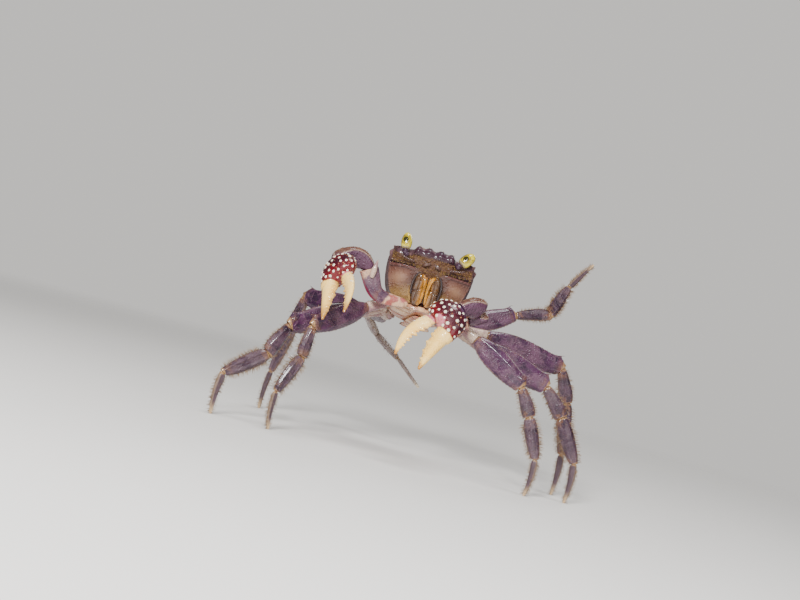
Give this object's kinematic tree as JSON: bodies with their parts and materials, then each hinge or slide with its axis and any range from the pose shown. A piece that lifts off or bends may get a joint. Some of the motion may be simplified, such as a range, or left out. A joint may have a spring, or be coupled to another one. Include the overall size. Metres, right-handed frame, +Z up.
{
  "type": "land crab",
  "caption": "Square-shelled land crab standing on its toes, both claws hanging open in front and both hind legs lifted.",
  "frame": {"origin": "middle of the crab's box in plan, on the floor that its toes stand on", "axes": "+X towards the crab's own left, -Y the way it faces, +Z up"},
  "size_m": [0.1098, 0.0782, 0.0759],
  "materials": {
    "shell": "dark purple-brown crab shell, granular, wet satin",
    "mouthparts": "amber mouth plates and feelers, glossy",
    "belly": "pinkish white underside, satin",
    "leg": "violet leg shell mottled with pale veins, satin",
    "leg_base": "whitish grey leg bases, satin",
    "toe": "greyish mauve toes with pale tips and bristles",
    "palm": "dark maroon palm with cream tubercles, ivory fixed finger, glossy",
    "finger": "ivory movable finger with an amber tip, glossy",
    "eye": "yellow-green eye, wet",
    "eyestalk": "dark purple eyestalk, wet"
  },
  "bodies": {
    "root": {"abdomen": "belly", "antenna_left": "mouthparts", "antenna_right": "mouthparts", "arm_left": "leg", "arm_right": "leg", "carapace": "shell", "eye_left": "eye", "eye_right": "eye", "eyestalk_left": "eyestalk", "eyestalk_right": "eyestalk", "finger_left": "finger", "finger_right": "finger", "leg_left_2_base": "leg_base", "leg_left_2_carpus": "leg", "leg_left_2_dactylus": "toe", "leg_left_2_merus": "leg", "leg_left_2_propodus": "leg", "leg_left_3_base": "leg_base", "leg_left_3_carpus": "leg", "leg_left_3_dactylus": "toe", "leg_left_3_merus": "leg", "leg_left_3_propodus": "leg", "leg_left_4_base": "leg_base", "leg_left_4_carpus": "leg", "leg_left_4_dactylus": "toe", "leg_left_4_merus": "leg", "leg_left_4_propodus": "leg", "leg_left_5_base": "leg_base", "leg_left_5_carpus": "leg", "leg_left_5_dactylus": "toe", "leg_left_5_merus": "leg", "leg_left_5_propodus": "leg", "leg_right_2_base": "leg_base", "leg_right_2_carpus": "leg", "leg_right_2_dactylus": "toe", "leg_right_2_merus": "leg", "leg_right_2_propodus": "leg", "leg_right_3_base": "leg_base", "leg_right_3_carpus": "leg", "leg_right_3_dactylus": "toe", "leg_right_3_merus": "leg", "leg_right_3_propodus": "leg", "leg_right_4_base": "leg_base", "leg_right_4_carpus": "leg", "leg_right_4_dactylus": "toe", "leg_right_4_merus": "leg", "leg_right_4_propodus": "leg", "leg_right_5_base": "leg_base", "leg_right_5_carpus": "leg", "leg_right_5_dactylus": "toe", "leg_right_5_merus": "leg", "leg_right_5_propodus": "leg", "maxilliped_left": "mouthparts", "maxilliped_right": "mouthparts", "palm_left": "palm", "palm_right": "palm", "sternum": "belly", "wrist_left": "shell", "wrist_right": "shell"}
  },
  "joints": []
}
